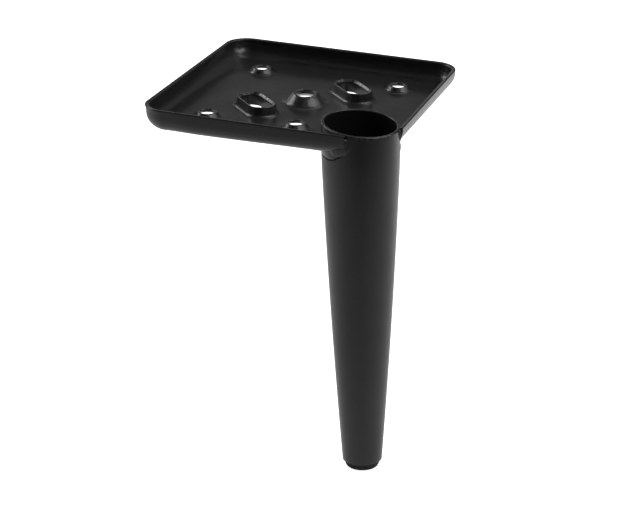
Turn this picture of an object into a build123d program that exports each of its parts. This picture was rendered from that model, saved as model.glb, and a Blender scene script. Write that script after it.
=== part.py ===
from build123d import *
import math
import os

# Furniture leg: a square pressed tray (rim upwards) with a round tapered tube
# welded into one corner.  Millimetres.  Origin: centre of the tray in the plane
# of its rim, which is the face that meets the furniture.  +Z up, leg downwards,
# leg corner at +X -Y.

# ---------------------------------------------------------------- dimensions
tray_size = 130.0          # outside of the square tray
tray_height = 11.2         # rim to underside
sheet = 2.2                # sheet thickness
corner_radius = 12.5       # outside, in plan
bottom_radius = 6.0        # outside, wall to floor
rim_edge = 0.45            # rounding of the rim's two edges

hole_pitch = 76.8          # square of the three outer screw holes
near_hole = (8.2, -36.8)   # screw hole beside the tube; mirrored in the diagonal
screw_hole_d = 7.0
screw_lip_d = 10.2
screw_base_d = 13.4
screw_lip_z = -6.9         # height of the flared lips under the rim plane

centre_hole_d = 10.0
centre_lip_d = 12.6
centre_base_d = 20.4
centre_lip_z = -4.0

slot_offset = 19.3         # slot centres at +-(offset, offset)
slot_length = 27.0         # outside of the flange
slot_width = 14.0
slot_wall = 1.35
slot_lip_z = -4.2

tube_d = 38.6              # outside, at the mouth
tube_wall = 1.7
tube_neck = 17.0           # nearly straight above this depth, tapered below it
tube_length = 179.7        # along the tube's axis, from the rim plane
tube_bite = 0.5            # how far the tube sits into the tray's wall
rake = 0.0792              # outward lean along the tray's diagonal (tangent)
mouth_z = 0.20             # mouth's centre over the rim plane
mouth_slope = (-0.052, 0.008)   # the mouth is cut slightly out of square

wall_end = 42.6            # the tray's walls stop this far from its centre
weld_leg = 4.2

glide_d = 17.4
glide_height = 3.5
glide_edge = 1.5
plug_length = 14.0

# ------------------------------------------------------------------- helpers
half = tray_size / 2
floor_top = -tray_height + sheet
floor_low = -tray_height
tube_r = tube_d / 2
tx = half - sheet - tube_r + tube_bite
ty = -tx
up = Vector(-rake / math.sqrt(2), rake / math.sqrt(2), 1).normalized()
leg_frame = Plane(origin=(tx, ty, 0), x_dir=Vector(1, 1, 0), z_dir=up)


def tube_radius(w):
    """Outside radius at w mm below the rim plane, along the tube's axis."""
    x = (w - tube_neck + math.hypot(w - tube_neck, 5.0)) / 2
    return tube_r - 0.0395 * x - 0.000102 * x * x


def ring_section(lip_r, lip_z, hole_r, base_r, out_r, wall, blend):
    """Half section, in X and Z, of a hole flared upwards out of the floor.

    The upper skin rises from the floor through a concave blend to the lip; the
    lower skin follows it one sheet below and turns into the hole's wall.
    """
    slope_r = base_r - lip_r
    slope_z = lip_z - floor_top
    ang = math.atan2(slope_z, slope_r)
    tl = blend * math.tan(ang / 2)
    # upper skin: floor, blend, cone, rounded lip
    a0 = (base_r + tl, floor_top)
    a1 = (base_r - tl * math.cos(ang), floor_top + tl * math.sin(ang))
    c0 = (base_r + tl, floor_top + blend)
    am = (c0[0] - blend * math.sin(ang / 2), c0[1] - blend * math.cos(ang / 2))
    lip_round = 0.4
    b0 = (lip_r + lip_round * math.cos(ang), lip_z - lip_round * math.sin(ang))
    b1 = (lip_r - lip_round, lip_z)
    # lower skin
    land = lip_z - wall
    under_r = base_r - sheet * math.tan(ang / 2)
    under_slope_r = hole_r + 0.35
    u_ang = math.atan2(land - floor_low, under_r - under_slope_r)
    ub = blend + sheet
    ul = min(ub * math.tan(u_ang / 2), 0.75 * (out_r - under_r))
    ub = ul / math.tan(u_ang / 2)
    d0 = (under_r + ul, floor_low)
    d1 = (under_r - ul * math.cos(u_ang), floor_low + ul * math.sin(u_ang))
    e0 = (under_r + ul, floor_low + ub)
    dm = (e0[0] - ub * math.sin(u_ang / 2), e0[1] - ub * math.cos(u_ang / 2))

    def v(p):
        return (p[0], 0, p[1])

    edges = [
        Line(v((out_r, floor_low)), v((out_r, floor_top))),
        Line(v((out_r, floor_top)), v(a0)),
        ThreePointArc(v(a0), v(am), v(a1)),
        Line(v(a1), v(b0)),
        ThreePointArc(v(b0), v((lip_r - 0.02, lip_z - 0.10)), v(b1)),
        Line(v(b1), v((hole_r + 0.25, lip_z))),
        Line(v((hole_r + 0.25, lip_z)), v((hole_r, lip_z - 0.25))),
        Line(v((hole_r, lip_z - 0.25)), v((hole_r, land))),
        Line(v((hole_r, land)), v((under_slope_r, land))),
        Line(v((under_slope_r, land)), v(d1)),
        ThreePointArc(v(d1), v(dm), v(d0)),
        Line(v(d0), v((out_r, floor_low))),
    ]
    return make_face(edges)


def slot_section(out_r):
    """Half section of the upright flange round a slot, straight-sided."""
    lip = slot_width / 2
    inner = lip - slot_wall
    r_in = 2.9                       # concave blend, upper skin
    r_out = 2.6                      # entry radius, lower skin
    foot = lip + 0.35
    top = slot_lip_z

    def v(p):
        return (p[0], 0, p[1])

    k = math.sqrt(0.5)
    edges = [
        Line(v((out_r, floor_low)), v((out_r, floor_top))),
        Line(v((out_r, floor_top)), v((foot + r_in, floor_top))),
        ThreePointArc(v((foot + r_in, floor_top)),
                      v((foot + r_in - r_in * k, floor_top + r_in - r_in * k)),
                      v((foot, floor_top + r_in))),
        Line(v((foot, floor_top + r_in)), v((lip, top - 0.3))),
        ThreePointArc(v((lip, top - 0.3)), v((lip - 0.09, top - 0.09)), v((lip - 0.3, top))),
        Line(v((lip - 0.3, top)), v((inner + 0.15, top))),
        Line(v((inner + 0.15, top)), v((inner, top - 0.15))),
        Line(v((inner, top - 0.15)), v((inner, floor_low + r_out))),
        ThreePointArc(v((inner, floor_low + r_out)),
                      v((inner + r_out - r_out * k, floor_low + r_out - r_out * k)),
                      v((inner + r_out, floor_low))),
        Line(v((inner + r_out, floor_low)), v((out_r, floor_low))),
    ]
    return make_face(edges)


# ---------------------------------------------------------------------- tray
def tray_block(size, radius, bottom_z, blend):
    blk = Pos(0, 0, bottom_z) * extrude(RectangleRounded(size, size, radius), -bottom_z)
    low = blk.edges().group_by(Axis.Z)[0]
    return fillet(low, blend)


outer = tray_block(tray_size, corner_radius, floor_low, bottom_radius)
inner = tray_block(tray_size - 2 * sheet, corner_radius - sheet, floor_top,
                   bottom_radius - sheet)
tray = outer - inner
rim_edges = tray.faces().sort_by(Axis.Z)[-1].edges()
tray = fillet(rim_edges, rim_edge)

h = hole_pitch / 2
screw_holes = [(-h, h), (h, h), (-h, -h), near_hole, (-near_hole[1], -near_hole[0])]
screw_out = screw_base_d / 2 + 2.0
centre_out = centre_base_d / 2 + 3.0
slot_out = slot_width / 2 + 4.6
slot_straight = slot_length - slot_width

for x, y in screw_holes:
    tray -= Pos(x, y, floor_low - 1) * Cylinder(screw_out, sheet + 2,
                                                align=(Align.CENTER, Align.CENTER, Align.MIN))
tray -= Pos(0, 0, floor_low - 1) * Cylinder(centre_out, sheet + 2,
                                            align=(Align.CENTER, Align.CENTER, Align.MIN))
for s in (-1, 1):
    place = Pos(s * slot_offset, s * slot_offset, floor_low - 1) * Rot(0, 0, -45)
    tray -= place * extrude(SlotOverall(slot_straight + 2 * slot_out, 2 * slot_out), sheet + 2)

screw_ring = revolve(ring_section(screw_lip_d / 2, screw_lip_z, screw_hole_d / 2,
                                  screw_base_d / 2, screw_out, 1.3, 1.6), Axis.Z, 360)
centre_ring = revolve(ring_section(centre_lip_d / 2, centre_lip_z, centre_hole_d / 2,
                                   centre_base_d / 2, centre_out, 1.9, 2.4), Axis.Z, 360)
for x, y in screw_holes:
    tray += Pos(x, y, 0) * screw_ring
tray += centre_ring

section = slot_section(slot_out)
end_a = Pos(slot_straight / 2, 0, 0) * (Rot(0, 0, -90) * revolve(section, Axis.Z, 180))
end_b = Rot(0, 0, 180) * end_a
side_a = Pos(-slot_straight / 2, 0, 0) * extrude(Rot(0, 0, 90) * section, slot_straight,
                                                 dir=(1, 0, 0))
side_b = Rot(0, 0, 180) * side_a
slot_ring = end_a + end_b + side_a + side_b
for s in (-1, 1):
    tray += Pos(s * slot_offset, s * slot_offset, 0) * Rot(0, 0, -45) * slot_ring

# ---------------------------------------------------------------------- tube
outer_pts = []
inner_pts = []
for w in (-4.0, 2.0, 8.0, 12.0, 15.0, 18.0, 21.0, 25.0, 31.0, 40.0, 55.0, 75.0, 100.0,
          125.0, 150.0, 168.0, tube_length):
    outer_pts.append((tube_radius(w), 0, -w))
    inner_pts.append((tube_radius(w) - tube_wall, 0, -w))
tube_face = make_face([
    Spline(*outer_pts),
    Line(outer_pts[-1], inner_pts[-1]),
    Spline(*inner_pts),
    Line(inner_pts[0], outer_pts[0]),
])
tube = revolve(tube_face, Axis.Z, 360)
end_edge = tube.edges().group_by(Axis.Z)[0].sort_by(SortBy.LENGTH)[-1]
tube = fillet(end_edge, 0.5)
tube = leg_frame.location * tube

core_face = make_face([
    Spline(*outer_pts),
    Line(outer_pts[-1], (0, 0, outer_pts[-1][2])),
    Line((0, 0, outer_pts[-1][2]), (0, 0, outer_pts[0][2])),
    Line((0, 0, outer_pts[0][2]), outer_pts[0]),
])
tube_core = leg_frame.location * revolve(core_face, Axis.Z, 360)

mouth_normal = Vector(-mouth_slope[0], -mouth_slope[1], 1).normalized()
mouth = Plane(origin=(tx, ty, mouth_z), z_dir=mouth_normal)
tube -= mouth.location * Box(90, 90, 20, align=(Align.CENTER, Align.CENTER, Align.MIN))
mouth_edges = tube.faces().sort_by(Axis.Z)[-1].edges()
tube = fillet(mouth_edges, 0.4)

# the tray's corner is cut away round the tube, and its walls stop beside it
corner_cut = Pos(wall_end, -wall_end, 1) * Box(60, 60, 30, align=(Align.MIN, Align.MAX, Align.CENTER))
tray = tray - tube_core - corner_cut
tray = tray.solids().sort_by(SortBy.VOLUME)[-1]

# --------------------------------------------------------------------- welds
wr = tube_radius(-floor_low)
lean = rake / math.sqrt(2)
inside_outline = Pos(0, 0, -20) * Box(tray_size - 0.6, tray_size - 0.6, 60)

# fillet bead round the tube, under the tray
bead_pts = [
    (wr - 1.6, 0, floor_low - weld_leg - 0.4),
    (wr + 0.1, 0, floor_low - weld_leg + 0.2),
    (wr + 1.6, 0, floor_low - weld_leg * 0.62),
    (wr + 3.0, 0, floor_low - weld_leg * 0.30),
    (wr + weld_leg, 0, floor_low + 0.2),
]
bead_face = make_face([
    Spline(*bead_pts),
    Line(bead_pts[-1], (wr + weld_leg, 0, floor_low + 2.0)),
    Line((wr + weld_leg, 0, floor_low + 2.0), (wr - 1.6, 0, floor_low + 2.0)),
    Line((wr - 1.6, 0, floor_low + 2.0), bead_pts[0]),
])
underside = Pos(tx + lean * 12.5, ty - lean * 12.5, 0) * revolve(bead_face, Axis.Z, 360)
underside -= Pos(wall_end + 0.4, -wall_end - 0.4, 0) * Box(
    60, 60, 60, align=(Align.MIN, Align.MAX, Align.CENTER))
underside = (underside & inside_outline) - tube_core - outer
underside_weld = underside.solids().sort_by(SortBy.VOLUME)[-1]


def end_bead(top_z, low_z):
    """Ramp of weld metal from the front wall's cut end down to the tube."""
    plan = make_face(Polyline(
        (wall_end - 0.6, -half + 0.45), (wall_end + 0.4, -half + 0.5),
        (wall_end + 2.0, -half + 0.95), (wall_end + 3.8, -half + 1.5),
        (wall_end + 5.4, -half + 2.1), (wall_end + 5.4, -half + 5.0),
        (wall_end - 0.6, -half + 5.0), close=True))
    ramp = Pos(0, 0, low_z) * extrude(plan, top_z - low_z)
    ramp -= Pos(wall_end + 0.8, -half, top_z) * Rot(0, 26, 0) * Box(
        30, 20, 20, align=(Align.CENTER, Align.CENTER, Align.MIN))
    ramp -= Pos(wall_end + 6.0, -half, low_z) * Rot(0, -32, 0) * Box(
        30, 20, 20, align=(Align.CENTER, Align.CENTER, Align.MAX))
    return ramp


front = end_bead(-3.4, floor_low - 3.2) - tube_core - tray - underside_weld
front_weld = front.solids().sort_by(SortBy.VOLUME)[-1]

# the same ramp at the side wall, mirrored in the tray's diagonal
side = mirror(end_bead(-5.2, floor_low - 2.6), Plane(origin=(0, 0, 0), z_dir=(1, 1, 0)))
side = side - tube_core - tray - underside_weld
side_weld = side.solids().sort_by(SortBy.VOLUME)[-1]

# --------------------------------------------------------------------- glide
end_r = tube_radius(tube_length)
plug_r = end_r - tube_wall - 0.05
gz = -tube_length
gr = glide_d / 2
k = math.sqrt(0.5)
ge = glide_edge
glide_face = make_face([
    Line((0, 0, gz + plug_length), (plug_r - 0.8, 0, gz + plug_length)),
    Line((plug_r - 0.8, 0, gz + plug_length), (plug_r, 0, gz + plug_length - 1.6)),
    Line((plug_r, 0, gz + plug_length - 1.6), (plug_r, 0, gz)),
    Line((plug_r, 0, gz), (gr - 0.1, 0, gz)),
    Line((gr - 0.1, 0, gz), (gr, 0, gz - 0.1)),
    Line((gr, 0, gz - 0.1), (gr, 0, gz - glide_height + ge)),
    ThreePointArc((gr, 0, gz - glide_height + ge),
                  (gr - ge + ge * k, 0, gz - glide_height + ge - ge * k),
                  (gr - ge, 0, gz - glide_height)),
    Line((gr - ge, 0, gz - glide_height), (0, 0, gz - glide_height)),
    Line((0, 0, gz - glide_height), (0, 0, gz + plug_length)),
])
glide = leg_frame.location * revolve(glide_face, Axis.Z, 360)

# -------------------------------------------------------------------- output
os.makedirs("parts", exist_ok=True)
nodes = {
    "mounting_tray": tray,
    "leg_tube": tube,
    "front_weld": front_weld,
    "side_weld": side_weld,
    "underside_weld": underside_weld,
    "foot_glide": glide,
}
for name, shape in nodes.items():
    solids = shape.solids()
    body = solids[0] if len(solids) == 1 else Compound(solids)
    body.label = name
    export_step(body, "parts/%s.step" % name)
    print(name, len(solids), round(body.volume, 1), body.is_valid)
low = leg_frame.from_local_coords(Vector(0, 0, gz - glide_height))
print("foot centre", round(low.X, 3), round(low.Y, 3), round(low.Z, 3))
print("tube axis at rim", round(tx, 3), round(ty, 3), "up", up)
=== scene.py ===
import math

import bmesh
import bpy
import numpy as np
from mathutils import Matrix, Vector
from mathutils.geometry import delaunay_2d_cdt


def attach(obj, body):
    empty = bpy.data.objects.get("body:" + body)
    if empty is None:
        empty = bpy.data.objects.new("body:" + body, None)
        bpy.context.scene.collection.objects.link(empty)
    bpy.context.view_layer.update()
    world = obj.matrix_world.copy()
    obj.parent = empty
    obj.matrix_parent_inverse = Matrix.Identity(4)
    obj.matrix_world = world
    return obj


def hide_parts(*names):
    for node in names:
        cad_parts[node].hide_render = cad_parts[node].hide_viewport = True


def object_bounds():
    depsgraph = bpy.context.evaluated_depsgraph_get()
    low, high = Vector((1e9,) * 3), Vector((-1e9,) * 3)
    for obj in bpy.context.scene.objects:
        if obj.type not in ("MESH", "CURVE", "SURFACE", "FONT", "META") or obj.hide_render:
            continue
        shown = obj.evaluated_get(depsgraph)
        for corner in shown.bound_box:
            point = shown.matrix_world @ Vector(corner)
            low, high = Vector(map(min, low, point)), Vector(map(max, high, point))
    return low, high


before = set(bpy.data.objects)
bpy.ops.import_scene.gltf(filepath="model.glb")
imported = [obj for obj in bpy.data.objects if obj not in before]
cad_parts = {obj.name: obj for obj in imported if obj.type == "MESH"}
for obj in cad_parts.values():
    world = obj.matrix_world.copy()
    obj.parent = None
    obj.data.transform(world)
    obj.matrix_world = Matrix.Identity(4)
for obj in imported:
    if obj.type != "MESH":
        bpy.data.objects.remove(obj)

cad_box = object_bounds()
MM = 0.001

# ------------------------------------------------------------------ dimensions
# Millimetres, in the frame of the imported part: origin at the tray's centre in
# the plane of its rim, +Z up, leg corner at +X -Y.
HALF = 65.0
FLOOR_TOP = -9.45
FLOOR_LOW = -11.2
CORNER_R = 12.5
BOTTOM_R = 6.0
SHEET = 2.2
WALL_END = 42.6

HOLE = 38.4
NEAR = (8.2, -36.8)
SCREWS = [(-HOLE, HOLE), (HOLE, HOLE), (-HOLE, -HOLE), NEAR, (-NEAR[1], -NEAR[0])]
SLOT_AT = 19.3

TX, TY = 44.0, -44.0
RAKE = 0.0792
TUBE_LEN = 179.7
TUBE_WALL = 1.7
UP = np.array([-RAKE / math.sqrt(2), RAKE / math.sqrt(2), 1.0])
UP /= np.linalg.norm(UP)
AX = np.array([1.0, 1.0, 0.0]) / math.sqrt(2)
AY = np.cross(UP, AX)
ORG = np.array([TX, TY, 0.0])


def tube_radius(w):
    """Outside radius at w mm below the rim plane along the tube's axis."""
    q = np.asarray(w, float) - 17.0
    x = (q + np.hypot(q, 5.0)) / 2
    return 19.3 - 0.0395 * x - 0.000102 * x * x


def tube_point(w, theta, r):
    w, theta, r = np.broadcast_arrays(np.asarray(w, float), theta, r)
    return (ORG - w[..., None] * UP
            + r[..., None] * (np.cos(theta)[..., None] * AX + np.sin(theta)[..., None] * AY))


def tube_dist(p):
    """Distance outside the tube's outer surface, and the depth w, at points p."""
    p = np.asarray(p, float)
    q = p - ORG
    w = -(q @ UP)
    axis = q + w[..., None] * UP
    return np.linalg.norm(axis, axis=-1) - tube_radius(w), w


def waves(t, seed, lo, hi, power=1.0):
    """A smooth periodic wobble of t in 0..1, about -1..1."""
    rng = np.random.RandomState(seed)
    t = np.asarray(t, float)
    out = np.zeros_like(t)
    norm = 0.0
    for k in range(lo, hi + 1):
        a = rng.uniform(0.5, 1.0) / k ** power
        out += a * np.sin(2 * math.pi * (k * t + rng.uniform()))
        norm += a * a
    return out / math.sqrt(norm / 2) / 1.7


def bump_at(t, centre, width):
    """1 at centre, falling to 0 over width, on a circle of length 1."""
    d = np.abs((np.asarray(t, float) - centre + 0.5) % 1.0 - 0.5)
    return np.exp(-(d / width) ** 2)


# ------------------------------------------------------------------ mesh helper
class Mesh:
    def __init__(self):
        self.v, self.f, self.a, self.n = [], [], [], 0

    def points(self, p, wear_and_glint=0.0):
        p = np.asarray(p, float).reshape(-1, 3)
        self.v.append(p)
        self.a.append(np.broadcast_to(np.asarray(wear_and_glint, float).ravel(), (len(p),))
                      if np.ndim(wear_and_glint) else np.full(len(p), wear_and_glint))
        self.n += len(p)
        return self.n - len(p)

    def grid(self, p, close_u=False, close_v=False, wear_and_glint=0.0):
        """Quads over an array of points of shape (nu, nv, 3)."""
        nu, nv = p.shape[:2]
        base = self.points(p, wear_and_glint)
        for i in range(nu if close_u else nu - 1):
            i2 = (i + 1) % nu
            for j in range(nv if close_v else nv - 1):
                j2 = (j + 1) % nv
                self.f.append((base + i * nv + j, base + i2 * nv + j,
                               base + i2 * nv + j2, base + i * nv + j2))
        return base

    def tris(self, p, faces, wear_and_glint=0.0):
        base = self.points(p, wear_and_glint)
        self.f += [tuple(base + k for k in t) for t in faces]

    def build(self, name, body="root", replaces=None, sharp=50, weld=0.004):
        v = np.concatenate(self.v) * MM
        wear_and_glint = np.concatenate(self.a)
        me = bpy.data.meshes.new(name)
        me.from_pydata(v.tolist(), [], self.f)
        # per-vertex weight of the lighter edge colour: partly edge wear, partly painted highlight
        at = me.attributes.new("wear_and_glint", "FLOAT", "POINT")
        at.data.foreach_set("value", wear_and_glint.astype(np.float32))
        bm = bmesh.new()
        bm.from_mesh(me)
        bmesh.ops.remove_doubles(bm, verts=bm.verts, dist=weld * MM)
        bmesh.ops.dissolve_degenerate(bm, edges=bm.edges, dist=1e-7)
        bmesh.ops.recalc_face_normals(bm, faces=bm.faces)
        bm.to_mesh(me)
        bm.free()
        me.shade_smooth()
        me.set_sharp_from_angle(angle=math.radians(sharp))
        ob = bpy.data.objects.new(name, me)
        bpy.context.scene.collection.objects.link(ob)
        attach(ob, body)
        if replaces:
            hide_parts(*replaces)
        return ob


def arc(cx, cz, r, a0, a1, n):
    a = np.radians(np.linspace(a0, a1, n + 1))
    return [(cx + r * math.cos(x), cz + r * math.sin(x)) for x in a]


def line(p, q, n):
    return [(p[0] + (q[0] - p[0]) * k / n, p[1] + (q[1] - p[1]) * k / n) for k in range(n + 1)]


def chain(*parts):
    out = []
    for p in parts:
        for x in p:
            if not out or math.hypot(x[0] - out[-1][0], x[1] - out[-1][1]) > 1e-6:
                out.append(x)
    return out


# ------------------------------------------------------------------------ tray
BITE = 0.15     # the tray's cut edge reaches this far into the tube's wall


def wall_stop(y, z):
    """x at which the front wall's row at (y, z) meets the tube, or its cut end."""
    q = ORG - UP * (-z / UP[2])
    hi = q[0]
    d, _ = tube_dist(np.array([hi, y, z]))
    if d + BITE > 0:
        return WALL_END
    lo = hi - 30.0
    for _ in range(50):
        mid = (lo + hi) / 2
        if tube_dist(np.array([mid, y, z]))[0] + BITE > 0:
            lo = mid
        else:
            hi = mid
    return min(WALL_END, lo)


N_ARC, N_WALL = 14, 4
rim_rows = chain(
    arc(0.5, -0.5, 0.5, 180, 90, 6),
    line((0.5, 0.0), (1.55, -0.22), 2),
    [(1.55 + 0.65 * math.sin(t), -0.22 - 0.65 * (1 - math.cos(t)))
     for t in np.linspace(0, math.pi / 2, 7)],
)


def wall_section(r_out, r_in):
    """Section of the wall, (distance in from the outline, height), from under the floor over the rim to the floor."""
    return (arc(r_out, FLOOR_LOW + r_out, r_out, 270, 180, N_ARC)
            + line((0, FLOOR_LOW + r_out), (0, -0.5), N_WALL)[1:-1]
            + rim_rows
            + line((SHEET, -0.87), (SHEET, FLOOR_TOP + r_in), N_WALL)[1:-1]
            + arc(SHEET + r_in, FLOOR_TOP + r_in, r_in, 180, 270, N_ARC))


rim_profile = wall_section(BOTTOM_R, BOTTOM_R - SHEET)
OUTER_ROWS = N_ARC + N_WALL


def ease(x, lo, hi):
    t = min(1.0, max(0.0, (x - lo) / (hi - lo)))
    return t * t * (3 - 2 * t)


def sag(x, y):
    """The pressing is a little deeper along its front edge, towards the left end."""
    return (-0.42 * (1 - ease(x, -38.0, 5.0)) - 0.5 * (1 - ease(x, -62.0, -42.0))) * ease(-y, 42.0, 57.0)


n_side, n_corner = 64, 22
c = HALF - CORNER_R
stations = []       # run, share of the run, outer and inner bottom radius, extra corner rounding
for k in np.linspace(0, 1, n_side + 1)[:-1]:
    x = WALL_END + (-c - WALL_END) * k
    r_out = 6.0 + 1.5 * ease(x, -5.0, 40.0) + 0.6 * ease(-x, 30.0, 52.5)
    stations.append((0, k, r_out, 4.3, 0.40 * ease(-x, 40.0, 52.5)))
for k in np.linspace(0, 1, n_corner + 1)[:-1]:
    stations.append((1, k, 6.6, 4.3, 0.40 + 0.85 * math.sin(math.pi * k)))
for k in np.linspace(0, 1, n_side + 1)[:-1]:
    stations.append((2, k, 6.5, 4.3 + 4.4 * ease(k, 0.35, 1.0), 0.40 * (1 - ease(k, 0.0, 0.15))))
for k in np.linspace(0, 1, n_corner + 1)[:-1]:
    stations.append((3, k, 6.5, 8.7 - 0.4 * k, 0.0))
for k in np.linspace(0, 1, n_side + 1)[:-1]:
    stations.append((4, k, 6.5 + 1.0 * ease(k, 0.7, 1.0), 8.3 - 3.3 * ease(k, 0.0, 0.25) + 1.4 * ease(k, 0.85, 1.0), 0.0))
for k in np.linspace(0, 1, n_corner + 1)[:-1]:
    stations.append((5, k, 7.5 + 1.7 * k, 6.4, 0.0))
for k in np.linspace(0, 1, n_side + 1):
    stations.append((6, k, 9.2 + 0.6 * k, 6.4 - 1.9 * ease(k, 0.0, 0.3), 0.0))
sections = [wall_section(q[2], q[3]) for q in stations]
n_rows = len(rim_profile)
skin = np.zeros((len(stations), n_rows, 3))
for j in range(n_rows):
    d, z = sections[0][j]
    stop_front = wall_stop(-HALF + d, z)
    d, z = sections[-1][j]
    stop_side = wall_stop(-HALF + d, z)
    for i, (run_no, k, _, _, tuck) in enumerate(stations):
        d, z = sections[i][j]
        if j < OUTER_ROWS:
            d = d + tuck * (0.25 + 0.75 * min(1.0, -z / 9.0))
        r = CORNER_R - d
        if run_no == 0:
            x, y = stop_front + (-c - stop_front) * k, -HALF + d
        elif run_no == 1:
            a = math.radians(270 - 90 * k)
            x, y = -c + r * math.cos(a), -c + r * math.sin(a)
        elif run_no == 2:
            x, y = -HALF + d, -c + 2 * c * k
        elif run_no == 3:
            a = math.radians(180 - 90 * k)
            x, y = -c + r * math.cos(a), c + r * math.sin(a)
        elif run_no == 4:
            x, y = -c + 2 * c * k, HALF - d
        elif run_no == 5:
            a = math.radians(90 - 90 * k)
            x, y = c + r * math.cos(a), c + r * math.sin(a)
        else:
            x, y = HALF - d, c + (-stop_side - c) * k
        if j < OUTER_ROWS:
            z += sag(x, y) * min(1.0, -z / -FLOOR_LOW)
        skin[i, j] = x, y, z


def tube_arc(z, p0, p1, n):
    """Points of the tube's outline in the plane z, from p0 to p1 past the tray's middle."""
    c = ORG - UP * (-z / UP[2])
    a0 = math.atan2(p0[1] - c[1], p0[0] - c[0]) % (2 * math.pi)
    a1 = math.atan2(p1[1] - c[1], p1[0] - c[0]) % (2 * math.pi)
    if a1 > a0:
        a1 -= 2 * math.pi
    out = []
    for a in np.linspace(a0, a1, n + 1):
        lo, hi = 10.0, 30.0
        for _ in range(50):
            mid = (lo + hi) / 2
            if tube_dist(np.array([c[0] + mid * math.cos(a), c[1] + mid * math.sin(a), z]))[0] + BITE > 0:
                hi = mid
            else:
                lo = mid
        out.append((c[0] + hi * math.cos(a), c[1] + hi * math.sin(a), z))
    out[0], out[-1] = tuple(p0), tuple(p1)
    return np.array(out)


n_arc = 72
top_arc = tube_arc(FLOOR_TOP, skin[0, -1], skin[-1, -1], n_arc)
low_arc = tube_arc(FLOOR_LOW, skin[0, 0], skin[-1, 0], n_arc)


def ring_rows(lip_r, lip_z, hole_r, base_r, blend, tilt, lower):
    """Section of a hole flared upwards: (radius, height, lip weight) from the floor over the lip to the underside.

    The drawn sheet is thinner in the flare than in the flat floor; lower lists
    the points of the flare's underside, from the hole's wall outwards.
    """
    ang = math.atan2(lip_z - FLOOR_TOP, base_r - lip_r)
    tl = blend * math.tan(ang / 2)
    c0 = (base_r + tl, FLOOR_TOP + blend)
    up_arc = [(c0[0] + blend * math.cos(a), c0[1] + blend * math.sin(a))
              for a in np.linspace(-math.pi / 2, -math.pi / 2 - ang, 12)]
    lr = 0.42
    b0 = (lip_r + lr * math.cos(ang) * 0.8, lip_z - lr * math.sin(ang))
    b1 = (lip_r - lr, lip_z)
    bend = []
    for t in np.linspace(0, 1, 6):
        x = (1 - t) ** 2 * b0[0] + 2 * t * (1 - t) * (lip_r) + t * t * b1[0]
        z = (1 - t) ** 2 * b0[1] + 2 * t * (1 - t) * (lip_z) + t * t * b1[1]
        bend.append((x, z))
    edge = (hole_r + 0.22, lip_z - tilt)
    pts = chain([(lower[-1][0], FLOOR_TOP)], up_arc, line(up_arc[-1], b0, 5), bend,
                line(b1, edge, 3), line(edge, (hole_r, edge[1] - 0.25), 2),
                line((hole_r, edge[1] - 0.25), lower[0], 3), smooth_run(lower, 4))
    out = []
    for x, z in pts:
        k = max(0.0, 1 - abs(z - lip_z) / 0.9) if x < lip_r + 0.8 else 0.0
        out.append((x, z, k))
    return out


def smooth_run(pts, n):
    """Points of a smooth curve through the given ones."""
    q = [pts[0]] + list(pts) + [pts[-1]]
    out = []
    for a, b, c, d in zip(q, q[1:], q[2:], q[3:]):
        for k in range(n):
            t = k / n
            out.append(tuple(0.5 * (2 * b[i] + (c[i] - a[i]) * t
                                    + (2 * a[i] - 5 * b[i] + 4 * c[i] - d[i]) * t * t
                                    + (3 * b[i] - a[i] - 3 * c[i] + d[i]) * t ** 3) for i in (0, 1)))
    out.append(tuple(pts[-1]))
    return out


def slot_rows(out_r):
    lip, inner, top = 7.0, 5.35, -4.2
    r_in, r_out = 2.3, 0.4
    lean = math.radians(14)
    z_end = FLOOR_TOP + r_in * (1 - math.sin(lean))
    foot = lip + 0.02 + (top - 0.42 - z_end) * math.tan(lean)
    pts = chain(
        [(out_r, FLOOR_TOP)],
        arc(foot + r_in * math.cos(lean), FLOOR_TOP + r_in, r_in, 270, 194, 12),
        line((foot, z_end), (lip + 0.02, top - 0.42), 4),
        [(lip - 0.03, top - 0.20), (lip - 0.14, top - 0.06), (lip - 0.34, top)],
        [(lip - 0.52, top - 0.09)],
        line((lip - 0.62, top - 0.17), (inner + 0.14, top - 1.05), 4),
        [(inner + 0.04, top - 1.20), (inner, top - 1.42)],
        line((inner, top - 1.42), (inner, FLOOR_LOW + r_out), 6),
        arc(inner + r_out, FLOOR_LOW + r_out, r_out, 180, 270, 8),
        [(out_r, FLOOR_LOW)],
    )
    return [(x, z, max(0.0, 1 - abs(z - top) / 1.5) if x < foot + 0.05 else 0.0) for x, z in pts]


def stadium(n_end, n_line, half_line):
    """Stations round a slot: foot on its spine, outward direction, share of the way round."""
    out = []
    for k in range(n_end):
        a = -math.pi / 2 + math.pi * k / n_end
        out.append(((half_line, 0.0), (math.cos(a), math.sin(a))))
    for k in range(n_line):
        out.append(((half_line - 2 * half_line * k / n_line, 0.0), (0.0, 1.0)))
    for k in range(n_end):
        a = math.pi / 2 + math.pi * k / n_end
        out.append(((-half_line, 0.0), (math.cos(a), math.sin(a))))
    for k in range(n_line):
        out.append(((-half_line + 2 * half_line * k / n_line, 0.0), (0.0, -1.0)))
    return out


tray = Mesh()
# the rim's top edge gets the lighter edge colour: partly wear, partly painted highlight
rim_wear_and_glint = np.array([max(0.0, 1 - abs(d - 1.0) / 1.15) if z > -1.0 else 0.0 for d, z in rim_profile])
tray.grid(skin, wear_and_glint=np.tile(rim_wear_and_glint * 0.5, (skin.shape[0], 1)))
# cut ends of the two walls, and the floor's edge against the tube
for end in (0, -1):
    pair = np.stack([skin[end, : n_rows // 2 + 1], skin[end, ::-1][: n_rows // 2 + 1]], 1)
    tray.grid(pair)
tray.grid(np.stack([top_arc, low_arc], 1))

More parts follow.
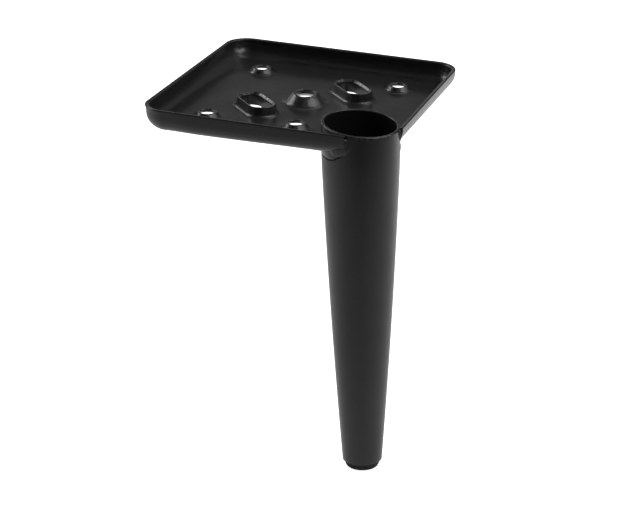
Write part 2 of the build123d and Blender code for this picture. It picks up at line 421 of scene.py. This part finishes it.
loops = []          # outlines of the openings in the floor
slot_out = 7.0 + 4.1
SCREW_LOW = [(3.5, -8.0), (3.72, -8.45), (4.45, -8.95), (5.7, -9.45), (7.3, -9.95), (8.8, -10.4), (10.3, -10.85),
             (11.5, -11.12), (12.3, FLOOR_LOW)]
CENTRE_LOW = [(5.0, -6.2), (5.15, -6.5), (5.9, -6.95), (7.6, -7.62), (9.2, -8.38), (10.8, -9.22), (12.4, -9.82),
              (13.7, -10.28), (14.6, -10.64), (15.2, -10.94), (15.6, FLOOR_LOW)]
collars = [(x, y, ring_rows(5.1, -6.9, 3.5, 6.8, 2.3, 0.12, SCREW_LOW), 72, 11 + i, 0.045)
           for i, (x, y) in enumerate(SCREWS)]
collars.append((0.0, 0.0, ring_rows(6.3, -4.0, 5.0, 10.9, 3.6, 0.30, CENTRE_LOW), 132, 31, 0.19))
for x, y, section, n, seed, ragged in collars:
    t = np.arange(n) / n
    a = 2 * math.pi * t
    saw = ragged * (0.6 * waves(t, seed, 3, 9, 0.6) + 0.55 * waves(t, seed + 100, 14, 30, 0.3))
    side = ragged * 0.7 * waves(t, seed + 200, 2, 22, 0.6)
    if ragged > 0.1:     # the centre hole's lip is pushed down a little on its front side
        saw = saw - 0.42 * np.clip(np.cos(a - math.radians(-72.6)), 0, 1) ** 3
    p = np.zeros((n, len(section), 3))
    wear_and_glint = np.zeros((n, len(section)))
    for j, (r, z, k) in enumerate(section):
        rr = r + k * side * (0.35 if r > 4.4 else 1.0)
        p[:, j, 0] = x + rr * np.cos(a)
        p[:, j, 1] = y + rr * np.sin(a)
        p[:, j, 2] = z + k * (saw - 0.5 * ragged)
        wear_and_glint[:, j] = k
    # the collar lips get the lighter edge colour: partly wear, partly painted glints
    tray.grid(p, close_u=True, wear_and_glint=wear_and_glint)
    loops.append(p[:, 0, :2])

s2 = math.sqrt(0.5)
for sign, seed in ((-1, 51), (1, 77)):
    cx, cy = sign * SLOT_AT, sign * SLOT_AT
    ring = stadium(64, 40, 6.5)
    n = len(ring)
    foot = np.array([q[0] for q in ring])
    out = np.array([q[1] for q in ring])
    # local +x lies along (1, -1): the end nearest the tube
    ex, ey = np.array([s2, -s2]), np.array([s2, s2])
    t = np.arange(n) / n
    far = bump_at(t, (64 + 40 + 32) / n, 0.13)
    near = bump_at(t, 32 / n, 0.10)
    saw = (0.06 + 0.24 * far + (0.10 if sign > 0 else 0.0) * near) * waves(t, seed, 4, 13, 0.5) + (0.035 + 0.14 * far) * waves(t, seed + 5, 16, 44, 0.3)
    drop = 0.10 + 0.34 * far - 0.22 * near
    side = (0.05 + 0.18 * far) * waves(t, seed + 9, 3, 18, 0.6)
    section = slot_rows(slot_out)
    p = np.zeros((n, len(section), 3))
    wear_and_glint = np.zeros((n, len(section)))
    for j, (r, z, k) in enumerate(section):
        rr = r + k * side
        xy = foot + out * rr[:, None]
        w = np.array([cx, cy]) + xy[:, :1] * ex + xy[:, 1:] * ey
        p[:, j, :2] = w
        p[:, j, 2] = z + k * (saw - drop)
        wear_and_glint[:, j] = k
    # the slot lips get the lighter edge colour: partly wear, partly painted glints
    tray.grid(p, close_u=True, wear_and_glint=wear_and_glint)
    loops.append(p[:, 0, :2])


def in_poly(p, poly):
    x, y = p[:, 0], p[:, 1]
    inside = np.zeros(len(p), bool)
    px, py = poly[:, 0], poly[:, 1]
    qx, qy = np.roll(px, -1), np.roll(py, -1)
    for a, b, c, d in zip(px, py, qx, qy):
        hit = (b > y) != (d > y)
        if hit.any():
            inside[hit] ^= x[hit] < (c - a) * (y[hit] - b) / (d - b) + a
    return inside


def floor_part(boundary, z):
    """Flat sheet inside the boundary and outside the openings, at height z."""
    rings = [boundary] + loops
    pts, edges = [], []
    for ring in rings:
        base = len(pts)
        pts += [tuple(q) for q in ring]
        edges += [(base + i, base + (i + 1) % len(ring)) for i in range(len(ring))]
    step = 1.7
    g = np.arange(-60, 60.01, step)
    gx, gy = np.meshgrid(g, g)
    gx = gx + (np.arange(len(g))[:, None] % 2) * step / 2
    cand = np.stack([gx.ravel(), gy.ravel()], 1)
    keep = in_poly(cand, boundary)
    for ring in loops:
        keep &= ~in_poly(cand, ring)
    edge_pts = np.array(pts)
    cand = cand[keep]
    near = np.min(np.hypot(cand[:, None, 0] - edge_pts[None, :, 0],
                           cand[:, None, 1] - edge_pts[None, :, 1]), axis=1)
    cand = cand[near > 0.9]
    pts += [tuple(q) for q in cand]
    verts, _, faces, *_ = delaunay_2d_cdt([Vector(q) for q in pts], edges, [], 0, 1e-6)
    verts = np.array([(q[0], q[1]) for q in verts])
    faces = np.array(faces)
    mid = verts[faces].mean(axis=1)
    keep = in_poly(mid, boundary)
    for ring in loops:
        keep &= ~in_poly(mid, ring)
    tray.tris(np.column_stack([verts, np.full(len(verts), z)]), faces[keep])


floor_part(np.concatenate([skin[:, -1, :2], top_arc[::-1][1:-1, :2]]), FLOOR_TOP)
floor_part(np.concatenate([skin[:, 0, :2], low_arc[::-1][1:-1, :2]]), FLOOR_LOW)


def soft_dents(p, with_sag):
    """The pressing isn't dead flat: hollows of a few hundredths of a millimetre."""
    x, y = p[:, 0], p[:, 1]
    fade = np.clip((62.0 - np.maximum(np.abs(x), np.abs(y))) / 8.0, 0, 1)
    fade = fade * fade * (3 - 2 * fade)
    low = np.clip((-9.6 - p[:, 2]) / 1.6, 0, 1)
    h = (0.045 * np.sin(x / 9.1 + 0.7) * np.sin(y / 10.7 - 0.4)
         + 0.035 * np.sin(x / 5.3 - y / 7.9 + 1.1) + 0.025 * np.sin(x / 3.9 + y / 4.6))
    q = p.copy()
    q[:, 2] += fade * h
    if with_sag:
        q[:, 2] += low * np.array([sag(u, v) for u, v in zip(x, y)])
    return q


def shaped(p):
    """The wall's skin has its depth already; everything else gets the sag here."""
    return soft_dents(p, len(p) != skin.shape[0] * n_rows)


tray.v = [shaped(p) for p in tray.v]
tray_ob = tray.build("mounting_tray_pressing", replaces=["mounting_tray"], sharp=60)

# ------------------------------------------------------------------------ tube
MOUTH_Z, SLOPE_X, SLOPE_Y = 0.19, -0.052, 0.008
n_t = 176
theta = 2 * math.pi * np.arange(n_t) / n_t


def mouth_depth(offset):
    """Depth along the axis at which a skin offset inwards meets the mouth's plane."""
    w = np.zeros(n_t)
    for _ in range(30):
        p = tube_point(w, theta, tube_radius(w) - offset)
        err = p[:, 2] - (MOUTH_Z + SLOPE_X * (p[:, 0] - TX) + SLOPE_Y * (p[:, 1] - TY))
        w = w + err
    return w


w_out, w_in = mouth_depth(0.0), mouth_depth(TUBE_WALL)
c_out = tube_point(w_out, theta, tube_radius(w_out))
c_in = tube_point(w_in, theta, tube_radius(w_in) - TUBE_WALL)
across = c_in - c_out
across /= np.linalg.norm(across, axis=1)[:, None]
cols = []
rr = 0.62
down_out = tube_point(w_out + 1, theta, tube_radius(w_out + 1)) - c_out
down_in = tube_point(w_in + 1, theta, tube_radius(w_in + 1) - TUBE_WALL) - c_in
tube_rows, tube_wear_and_glint = [], []
# inner skin from the plug upwards
ends = TUBE_LEN - 9.0
for k in np.linspace(0, 1, 60)[:-1]:
    w = ends + (w_in + rr - ends) * k
    tube_rows.append(tube_point(w, theta, tube_radius(w) - TUBE_WALL))
    tube_wear_and_glint.append(0.0)
# the mouth's rounded ring gets a high weight of the lighter edge colour: partly wear, mostly painted highlight
for a in np.linspace(0, math.pi / 2, 6):
    tube_rows.append(c_in + down_in * rr * (1 - math.sin(a)) - across * rr * (1 - math.cos(a)))
    tube_wear_and_glint.append(0.8 * math.sin(a) ** 3)
for a in np.linspace(0, math.pi / 2, 6):
    tube_rows.append(c_out + across * rr * (1 - math.sin(a)) + down_out * rr * (1 - math.cos(a)))
    tube_wear_and_glint.append(0.8)
for k in np.linspace(0, 1, 110)[1:]:
    w = (w_out + rr) + (TUBE_LEN - 0.55 - (w_out + rr)) * k
    tube_rows.append(tube_point(w, theta, tube_radius(w)))
    tube_wear_and_glint.append(0.0)
for a in np.linspace(0, math.pi / 2, 6)[1:]:
    w = TUBE_LEN - 0.55 + 0.55 * math.sin(a)
    tube_rows.append(tube_point(np.full(n_t, w), theta, tube_radius(w) - 0.55 * (1 - math.cos(a))))
    tube_wear_and_glint.append(0.3)
tube_rows.append(tube_point(np.full(n_t, TUBE_LEN), theta, tube_radius(TUBE_LEN) - TUBE_WALL))
tube_wear_and_glint.append(0.0)
tube = Mesh()
tube.grid(np.stack(tube_rows, 1), close_u=True, close_v=True,
          wear_and_glint=np.tile(np.array(tube_wear_and_glint), (n_t, 1)))
tube_ob = tube.build("leg_tube_tapered", replaces=["leg_tube"], sharp=60)

# ----------------------------------------------------------------------- glide
n_g = 112
gt = 2 * math.pi * np.arange(n_g) / n_g
plug_r = float(tube_radius(TUBE_LEN)) - TUBE_WALL - 0.05
gr = 8.7
L = TUBE_LEN
g_prof = chain(
    [(0.0, L - 14.0)], line((0.0, L - 14.0), (plug_r - 0.8, L - 14.0), 3),
    line((plug_r - 0.8, L - 14.0), (plug_r, L - 12.4), 2),
    line((plug_r, L - 12.4), (plug_r, L + 0.02), 6),
    line((plug_r, L + 0.02), (gr - 0.2, L + 0.02), 1),
    [(gr - 0.06, L + 0.06), (gr, L + 0.20)],
    line((gr, L + 0.20), (gr, L + 1.15), 2),
    [(gr - 0.10, L + 1.25), (gr - 0.16, L + 1.40), (gr - 0.10, L + 1.55)],
    line((gr - 0.02, L + 1.68), (gr, L + 1.90), 1),
    [(gr - 1.5 + 1.5 * math.cos(a), L + 2.0 + 1.5 * math.sin(a)) for a in np.linspace(0, math.pi / 2, 9)],
    line((gr - 1.5, L + 3.5), (5.2, L + 3.5), 2),
    [(5.0, L + 3.46), (4.8, L + 3.35)], line((4.8, L + 3.35), (0.0, L + 3.35), 4),
)
glide = Mesh()
glide.grid(np.stack([tube_point(np.full(n_g, w), gt, max(r, 0.0005)) for r, w in g_prof], 1), close_u=True)
glide_ob = glide.build("foot_glide_moulding", replaces=["foot_glide"], sharp=50)

# ----------------------------------------------------------------------- welds


def outline_dist(x, y):
    """Signed distance outside the tray's square outline with its rounded corners."""
    ax_, ay_ = np.abs(x) - (HALF - CORNER_R), np.abs(y) - (HALF - CORNER_R)
    return (np.hypot(np.maximum(ax_, 0), np.maximum(ay_, 0))
            + np.minimum(np.maximum(ax_, ay_), 0) - CORNER_R)


def tray_dist(p):
    """Distance outside the tray taken as a filled block with its leg corner cut away."""
    d2 = outline_dist(p[..., 0], p[..., 1])
    br = np.where(p[..., 0] + p[..., 1] > 0, 9.7, 7.4)
    a, b = d2 + br, (FLOOR_LOW - p[..., 2]) + br
    s = np.minimum(np.maximum(a, b), 0) + np.hypot(np.maximum(a, 0), np.maximum(b, 0)) - br
    cut = np.maximum(WALL_END - p[..., 0], p[..., 1] + WALL_END)
    return np.maximum(s, -cut)


def soft_union(a, b, k):
    h = np.maximum(k - np.abs(a - b), 0) / k
    return np.minimum(a, b) - h * h * k / 4


def surface_net(field, lo, h):
    """Closed quad mesh of field = 0 on a regular grid (negative inside)."""
    inside = field < 0
    nx, ny, nz = field.shape
    corner = [(i, j, k) for i in (0, 1) for j in (0, 1) for k in (0, 1)]
    cnt = np.zeros((nx - 1, ny - 1, nz - 1))
    acc = np.zeros((nx - 1, ny - 1, nz - 1, 3))

    def sub(a, c):
        return a[c[0]:nx - 1 + c[0], c[1]:ny - 1 + c[1], c[2]:nz - 1 + c[2]]

    for ci in range(8):
        for cj in range(ci + 1, 8):
            c0, c1 = corner[ci], corner[cj]
            if sum(abs(p - q) for p, q in zip(c0, c1)) != 1:
                continue
            f0, f1 = sub(field, c0), sub(field, c1)
            m = sub(inside, c0) != sub(inside, c1)
            t = np.where(m, f0 / np.where(m, f0 - f1, 1.0), 0.0)
            for ax_ in range(3):
                acc[..., ax_] += np.where(m, c0[ax_] + t * (c1[ax_] - c0[ax_]), 0.0)
            cnt += m
    used = cnt > 0
    ident = -np.ones(used.shape, int)
    ident[used] = np.arange(used.sum())
    cell = np.argwhere(used)
    verts = lo + h * (cell + acc[used] / cnt[used][:, None])
    faces = []
    for ax_ in range(3):
        u, v = (ax_ + 1) % 3, (ax_ + 2) % 3
        a = [slice(None)] * 3
        b = [slice(None)] * 3
        a[ax_], b[ax_] = slice(0, -1), slice(1, None)
        flip = inside[tuple(a)] != inside[tuple(b)]
        for e in np.argwhere(flip):
            if e[u] == 0 or e[v] == 0 or e[u] >= field.shape[u] - 1 or e[v] >= field.shape[v] - 1:
                continue
            q = []
            for du, dv in ((0, 0), (1, 0), (1, 1), (0, 1)):
                c = e.copy()
                c[u] -= du
                c[v] -= dv
                q.append(ident[tuple(c)])
            if min(q) >= 0:
                faces.append(tuple(q))
    return verts, faces


def soft_cut(a, b, k):
    """The common part of two fields, with a rounded edge between them."""
    return -soft_union(-a, -b, k)


def bead_piece(name, node, path, radius, k, k_tube, seed, h=0.3, rough_mm=0.02):
    """Weld bead along a path: a string of beads melted into the tube and the tray."""
    path, radius = np.array(path), np.array(radius)
    lo = path.min(0) - radius.max() - 3.0
    hi = path.max(0) + radius.max() + 3.0
    dims = np.ceil((hi - lo) / h).astype(int) + 1
    g = np.stack(np.meshgrid(*[lo[i] + h * np.arange(dims[i]) for i in range(3)], indexing="ij"), -1)
    flat = g.reshape(-1, 3)
    st, w = tube_dist(flat)
    sr = tray_dist(flat)
    solid = np.minimum(st, sr)
    f = np.full(len(flat), 9.0)
    todo = (solid > -3.4) & (solid < 7.0)
    sel = flat[todo]
    bead = np.full(len(sel), 9.0)
    for a, b, ra, rb in zip(path[:-1], path[1:], radius[:-1], radius[1:]):
        ab = b - a
        t = np.clip(((sel - a) @ ab) / max(ab @ ab, 1e-9), 0, 1)
        d = np.linalg.norm(sel - a - t[:, None] * ab, axis=1) - (ra + (rb - ra) * t)
        bead = soft_union(bead, d, 0.3)
    rng = np.random.RandomState(seed)
    rough = np.zeros(len(sel))
    for _ in range(7):
        kdir = rng.normal(size=3)
        kdir *= rng.uniform(0.7, 2.2) / np.linalg.norm(kdir)
        rough += rng.uniform(0.4, 1.0) * np.sin(sel @ kdir + rng.uniform(0, 6.28))
    bead += rough_mm * rough
    melted = soft_union(soft_union(bead, sr[todo], k), st[todo], k_tube)
    part = soft_cut(melted, bead - 0.6 * k, 0.4)
    part = np.maximum(part, -(st[todo] + 1.2))            # stays out of the tube's bore
    part = np.maximum(part, -(sr[todo] + 1.4))            # and out of the tray's hollow
    part = soft_cut(part, outline_dist(sel[:, 0], sel[:, 1]) + 0.15, 0.5)
    f[todo] = part
    v, q = surface_net(f.reshape(dims), lo, h)
    m = Mesh()
    m.tris(v, q, wear_and_glint=0.12)
    ob = m.build(name, replaces=[node], sharp=80, weld=0.0005)
    return ob


# bearings run anticlockwise from +X: the front wall ends near -95 degrees and
# the side wall near 0; the bead goes the long way round, under the floor
TOE = np.array([(-104.0, -10.0, 0.35), (-108.0, -11.0, 0.5), (-112.0, -11.95, 0.62), (-118.0, -13.2, 0.68),
                (-124.0, -13.7, 0.62), (-131.0, -13.7, 0.5), (-140.0, -13.5, 0.4), (-150.0, -13.3, 0.35),
                (-170.0, -13.3, 0.6), (-200.0, -13.4, 1.2), (-290.0, -13.4, 1.2), (-318.0, -13.2, 0.9),
                (-328.0, -12.8, 0.3), (-336.0, -12.2, 0.08), (-346.0, -11.6, 0.05)])
under_path, under_r = [], []
bearings = np.linspace(TOE[0, 0], TOE[-1, 0], 200)
share = np.linspace(0, 1, len(bearings))
ripple = 0.05 * np.sin(share * 2 * math.pi * 31) + 0.08 * waves(share * 0.9, 5, 3, 10, 0.4)
for b, wob in zip(bearings, ripple):
    toe = float(np.interp(-b, -TOE[:, 0], TOE[:, 1]))
    proud = float(np.interp(-b, -TOE[:, 0], TOE[:, 2])) + 0.5 * wob
    r = 3.4 + wob
    sink = r - max(proud, 0.05)
    z = toe + math.sqrt(max(r * r - sink * sink, 0.05))
    mid = ORG - UP * (-z / UP[2])
    rad = float(tube_radius(-z / UP[2])) - sink
    under_path.append((mid[0] + rad * math.cos(math.radians(b)), mid[1] + rad * math.sin(math.radians(b)), z))
    under_r.append(r)
under_ob = bead_piece("underside_weld_bead", "underside_weld", under_path, under_r, 1.8, 0.5, 3)

front_path = [(37.6, -62.0, -9.7), (39.4, -62.4, -8.9), (41.2, -62.55, -8.0), (42.5, -62.5, -7.3), (42.9, -62.6, -6.0),
              (42.6, -63.1, -4.6), (42.3, -63.5, -3.6)]
front_r = [1.3, 1.3, 1.3, 1.35, 1.15, 0.9, 0.7]
front_ob = bead_piece("front_weld_bead", "front_weld", front_path, front_r, 2.2, 2.0, 8, h=0.22, rough_mm=0.012)
side_path = [(61.0, -36.2, -7.6), (61.7, -38.8, -7.0), (62.1, -41.0, -6.3), (62.6, -42.0, -5.0), (62.9, -42.2, -3.4), (63.1, -42.2, -2.2)]
side_r = [1.1, 1.0, 0.95, 0.9, 0.85, 0.75]
side_ob = bead_piece("side_weld_bead", "side_weld", side_path, side_r, 1.2, 1.0, 21, h=0.22, rough_mm=0.02)


# ------------------------------------------------------------------- materials
def nodes_of(mat):
    mat.use_nodes = True
    nt = mat.node_tree
    nt.nodes.clear()
    return nt, nt.nodes, nt.links


def noise(ns, ls, coords, scale, detail=2.0, rough=0.5):
    n = ns.new("ShaderNodeTexNoise")
    n.inputs["Scale"].default_value = scale
    n.inputs["Detail"].default_value = detail
    n.inputs["Roughness"].default_value = rough
    ls.new(coords, n.inputs["Vector"])
    return n.outputs["Fac"]


def ramp(ns, ls, fac, stops):
    r = ns.new("ShaderNodeValToRGB")
    e = r.color_ramp.elements
    while len(e) < len(stops):
        e.new(0.5)
    for el, (pos, col) in zip(e, stops):
        el.position = pos
        el.color = (*col, 1.0) if isinstance(col, tuple) else (col, col, col, 1.0)
    ls.new(fac, r.inputs["Fac"])
    return r.outputs["Color"]


def math_node(ns, ls, op, a, b):
    m = ns.new("ShaderNodeMath")
    m.operation = op
    for s, x in zip(m.inputs, (a, b)):
        if isinstance(x, (int, float)):
            s.default_value = x
        else:
            ls.new(x, s)
    return m.outputs[0]


def paint(name, dark, pale, rough_lo, rough_hi, peel, peel_size, specular=0.5, lumps=0.0, skin=0.0, skin_rough=0.2):
    """Black coat: slight mottling, uneven gloss, orange peel, and thin bright edges where wear is set; the bright edge
    colour is partly real edge wear and partly painted highlight standing in for glints on lips and rims.
    """
    mat = bpy.data.materials.new(name)
    nt, ns, ls = nodes_of(mat)
    out = ns.new("ShaderNodeOutputMaterial")
    b = ns.new("ShaderNodeBsdfPrincipled")
    ls.new(b.outputs[0], out.inputs[0])
    tc = ns.new("ShaderNodeTexCoord")
    co = tc.outputs["Object"]
    mott = noise(ns, ls, co, 55.0, 4.0, 0.6)
    fine = noise(ns, ls, co, 700.0, 2.0, 0.5)
    at = ns.new("ShaderNodeAttribute")
    at.attribute_name = "wear_and_glint"
    wear_and_glint = at.outputs["Fac"]
    base = ramp(ns, ls, mott, [(0.3, dark), (0.72, pale)])
    edge = ns.new("ShaderNodeMix")
    edge.data_type = "RGBA"
    edge.blend_type = "MIX"
    # painted highlight: the lighter edge colour, mixed in where the wear attribute is set, is partly real edge wear
    # and partly stands in for glints on lips and rims
    edge.inputs["B"].default_value = (0.055, 0.055, 0.056, 1)
    ls.new(base, edge.inputs["A"])
    edge_wear_and_glint_mask = math_node(ns, ls, "MULTIPLY", wear_and_glint, ramp(ns, ls, fine, [(0.45, 0.0), (0.65, 1.0)]))
    ls.new(edge_wear_and_glint_mask, edge.inputs["Factor"])
    ls.new(edge.outputs["Result"], b.inputs["Base Color"])
    gloss = ramp(ns, ls, noise(ns, ls, co, 120.0, 3.0, 0.55), [(0.3, rough_lo), (0.7, rough_hi)])
    thin = math_node(ns, ls, "MULTIPLY", wear_and_glint, 0.12)
    ls.new(math_node(ns, ls, "SUBTRACT", gloss, thin), b.inputs["Roughness"])
    b.inputs["Specular IOR Level"].default_value = specular
    b.inputs["IOR"].default_value = 1.5
    b.inputs["Coat Weight"].default_value = skin
    b.inputs["Coat Roughness"].default_value = skin_rough
    grain = noise(ns, ls, co, 1.0 / (peel_size * MM), 1.5, 0.45)
    bump = ns.new("ShaderNodeBump")
    bump.inputs["Strength"].default_value = 1.0
    bump.inputs["Distance"].default_value = peel * MM
    ls.new(grain, bump.inputs["Height"])
    if lumps:
        wide = noise(ns, ls, co, 420.0, 2.0, 0.5)
        b2 = ns.new("ShaderNodeBump")
        b2.inputs["Strength"].default_value = 1.0
        b2.inputs["Distance"].default_value = lumps * MM
        ls.new(wide, b2.inputs["Height"])
        ls.new(b2.outputs["Normal"], bump.inputs["Normal"])
    ls.new(bump.outputs["Normal"], b.inputs["Normal"])
    return mat


def v3(x):
    return (x, x, x * 1.03)


coat = paint("black_powder_coat", v3(0.0080), v3(0.0112), 0.42, 0.50, 0.006, 1.1, specular=0.30, skin=0.60, skin_rough=0.18)
coat_tube = paint("black_powder_coat_tube", v3(0.0055), v3(0.0080), 0.42, 0.50, 0.006, 1.1, specular=0.30, skin=0.60, skin_rough=0.25)
# also laid along the weld beads' toes as painted shade
bore_coat_and_toe_shade = paint("thin_coat_in_bore_and_painted_toe_shade", v3(0.0055), v3(0.0085), 0.55, 0.70, 0.004, 0.8, specular=0.06)
coat_weld = paint("black_coat_on_weld", v3(0.0065), v3(0.0095), 0.42, 0.50, 0.006, 1.0, specular=0.30, lumps=0.012, skin=0.55, skin_rough=0.22)
plastic = paint("black_glide_plastic", v3(0.022), v3(0.030), 0.46, 0.58, 0.010, 0.45, specular=0.45)


def dress(ob, mat):
    ob.data.materials.clear()
    ob.data.materials.append(mat)


dress(tray_ob, coat)
dress(tube_ob, coat_tube)
# the bore's skin, a little under the mouth's inner edge, has hardly any paint
tube_ob.data.materials.append(bore_coat_and_toe_shade)
for poly in tube_ob.data.polygons:
    c = np.array(poly.center) / MM
    d, w = tube_dist(c)
    if d < -TUBE_WALL + 0.12 and w < TUBE_LEN - 1.0:
        poly.material_index = 1
for ob in (under_ob, front_ob, side_ob):
    dress(ob, coat_weld)
# painted shade: faces along the bead's toe on the tube get the dark, low-gloss bore coat, a dark line standing in for
# the shadowed crease under the bead
for ob, top in ((under_ob, -9.0), (front_ob, -8.2)):
    ob.data.materials.append(bore_coat_and_toe_shade)
    for poly in ob.data.polygons:
        c = np.array(poly.center) / MM
        if c[2] < top and tube_dist(c)[0] < 0.10:
            poly.material_index = 1
dress(glide_ob, plastic)
for n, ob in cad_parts.items():
    dress(ob, plastic if n == "foot_glide" else coat_weld if n.endswith("weld") else coat)

# ---------------------------------------------------------------------- studio
floor_z = cad_box[0][2] - 0.0001
me = bpy.data.meshes.new("studio_floor")
S = 9.0
me.from_pydata([(-S, -S, floor_z), (S, -S, floor_z), (S, S, floor_z), (-S, S, floor_z)], [], [(0, 1, 2, 3)])
floor = bpy.data.objects.new("studio_floor", me)
bpy.context.scene.collection.objects.link(floor)
fm = bpy.data.materials.new("white_floor")
nt, ns, ls = nodes_of(fm)
out = ns.new("ShaderNodeOutputMaterial")
white = ns.new("ShaderNodeBsdfPrincipled")
white.inputs["Base Color"].default_value = (0.9, 0.9, 0.9, 1)
white.inputs["Roughness"].default_value = 0.9
white.inputs["Specular IOR Level"].default_value = 0.0
white.inputs["Emission Color"].default_value = (1, 1, 1, 1)
white.inputs["Emission Strength"].default_value = 0.97
clear = ns.new("ShaderNodeBsdfTransparent")
geo = ns.new("ShaderNodeNewGeometry")
mix = ns.new("ShaderNodeMixShader")
ls.new(geo.outputs["Backfacing"], mix.inputs["Fac"])
ls.new(white.outputs[0], mix.inputs[1])
ls.new(clear.outputs[0], mix.inputs[2])
ls.new(mix.outputs[0], out.inputs[0])
floor.data.materials.append(fm)
floor.visible_glossy = False
floor.visible_diffuse = False

# Pale surroundings for the camera only; all light comes from the two fields below.
world = bpy.data.worlds.new("studio")
bpy.context.scene.world = world
world.use_nodes = True
world.node_tree.nodes["Background"].inputs["Color"].default_value = (1, 1, 1, 1)
world.node_tree.nodes["Background"].inputs["Strength"].default_value = 1.0
world.cycles_visibility.diffuse = False
world.cycles_visibility.glossy = False

# Soft studio light as brightness by direction. The dome is listed by bands of
# elevation (degrees), the light thrown back by the white floor by rings round
# the foot (metres); each list runs round from the camera's side.
LIGHT_AZ = -72.6
DOME = [
    ((2, 14), [0.16, 0.22, 0.30, 0.16, 0.00, 0.37, 1.04, 0.80, 0.41, 0.04]),
    ((14, 28), [0.00, 0.00, 0.00, 0.00, 0.05, 0.15, 0.15, 0.13, 0.06, 0.11, 0.20, 0.07, 0.00, 0.00]),
    ((28, 46), [0.00, 0.14, 0.15, 0.10, 0.10, 0.20, 0.08, 0.05, 0.00, 0.20, 0.20, 0.20, 0.20, 0.06, 0.00, 0.00]),
    ((46, 64), [0.55, 0.30, 0.10, 0.10, 0.50, 1.80, 1.61, 0.64, 0.00, 0.00, 0.00, 0.00, 0.00, 0.00]),
    ((64, 90), [0.14]),
]
BOUNCE = [
    ((0.012, 0.05), [0.60, 0.81]),
    ((0.05, 0.11), [0.59, 0.88, 0.79, 0.67]),
    ((0.11, 0.22), [0.47, 0.62, 0.84, 0.60, 0.70, 0.50]),
    ((0.22, 0.45), [0.47, 0.65, 0.79, 0.90, 0.70, 0.70, 0.79, 0.51]),
    ((0.45, 1), [0.00, 0.24, 0.77, 1.42, 0.95, 0.43, 0.58, 0.36]),
    ((1, 3), [0.00, 0.12, 0.03, 0.10, 0.14, 0.00]),
]


def brightness(table, band_at, turn, scale):
    """Smooth value of a table at a place: band_at along the bands, turn in degrees."""
    mids = [scale((lo + hi) / 2) for (lo, hi), _ in table]
    vals = []
    for _, row in table:
        f = ((turn - LIGHT_AZ) / (360.0 / len(row))) % len(row)
        i = int(f)
        t = f - i
        vals.append(row[i % len(row)] * (1 - t) + row[(i + 1) % len(row)] * t)
    return float(np.interp(scale(band_at), mids, vals))


# Softboxes: bearing and elevation of the middle, half width and half height (degrees), brightness.
SOFTBOXES = [(172.0, 22.0, 32.0, 9.0, 4.6), (-9.0, 33.0, 50.0, 11.0, 3.6), (22.0, 18.0, 33.0, 7.0, 1.8)]


def softbox_glow(el, turn):
    total = 0.0
    for az0, half_w, el0, half_h, level in SOFTBOXES:
        da = abs((turn - az0 + 180.0) % 360.0 - 180.0)
        total += level * ease(half_w + 3.0 - da, 0.0, 6.0) * ease(half_h + 3.0 - abs(el - el0), 0.0, 6.0)
    return total


def light_field(name, n_turn, steps, table, scale, place, extra=None):
    me = bpy.data.meshes.new(name)
    turns = [360.0 * k / n_turn for k in range(n_turn)]
    verts = [place(q, t) for t in turns for q in steps]
    m_ = len(steps)
    faces = [(i * m_ + j, ((i + 1) % n_turn) * m_ + j, ((i + 1) % n_turn) * m_ + j + 1, i * m_ + j + 1)
             for i in range(n_turn) for j in range(m_ - 1)]
    me.from_pydata(verts, [], faces)
    glow = me.attributes.new("glow", "FLOAT", "POINT")
    glow.data.foreach_set("value", np.array([
        brightness(table, q, t, scale) + (extra(q, t) if extra else 0.0) for t in turns for q in steps], np.float32))
    ob = bpy.data.objects.new(name, me)
    bpy.context.scene.collection.objects.link(ob)
    mat = bpy.data.materials.new(name)
    nt, ns, ls = nodes_of(mat)
    out = ns.new("ShaderNodeOutputMaterial")
    em = ns.new("ShaderNodeEmission")
    at = ns.new("ShaderNodeAttribute")
    at.attribute_name = "glow"
    ls.new(at.outputs["Fac"], em.inputs["Strength"])
    ls.new(em.outputs[0], out.inputs[0])
    me.materials.append(mat)
    ob.visible_camera = False
    return ob


def on_dome(el, turn):
    e, a = math.radians(el), math.radians(turn)
    return (3.0 * math.cos(e) * math.cos(a), 3.0 * math.cos(e) * math.sin(a), 3.0 * math.sin(e))


def on_floor(r, turn):
    a = math.radians(turn)
    return (0.0542 + r * math.cos(a), -0.0542 + r * math.sin(a), floor_z + 0.0004)


light_field("soft_dome", 144, list(np.linspace(2.0, 89.9, 53)), DOME, lambda q: q, on_dome, softbox_glow)
light_field("floor_bounce", 96, list(np.geomspace(0.012, 3.0, 40)), BOUNCE, math.log, on_floor)

# ---------------------------------------------------------------------- camera
cam_data = bpy.data.cameras.new("camera")
cam = bpy.data.objects.new("camera", cam_data)
bpy.context.scene.collection.objects.link(cam)
cam_data.sensor_fit = "HORIZONTAL"
cam_data.sensor_width = 36.0
cam_data.lens = 1744.5 / 635.0 * 36.0
cam_data.clip_start, cam_data.clip_end = 0.01, 60.0
yaw, pitch, roll = math.radians(-18.705), math.radians(24.129), math.radians(1.329)
fwd = Vector((math.sin(yaw) * math.cos(pitch), math.cos(yaw) * math.cos(pitch), -math.sin(pitch)))
right0 = Vector((math.cos(yaw), -math.sin(yaw), 0.0))
up0 = right0.cross(fwd)
right = right0 * math.cos(roll) + up0 * math.sin(roll)
upv = -right0 * math.sin(roll) + up0 * math.cos(roll)
m = Matrix.Identity(4)
for i in range(3):
    m[i][0], m[i][1], m[i][2] = right[i], upv[i], -fwd[i]
m.translation = Vector((0.280593, -0.803238, 0.287193))
cam.matrix_world = m
bpy.context.scene.camera = cam

bpy.context.scene.view_settings.view_transform = "Standard"
bpy.context.scene.view_settings.look = "None"
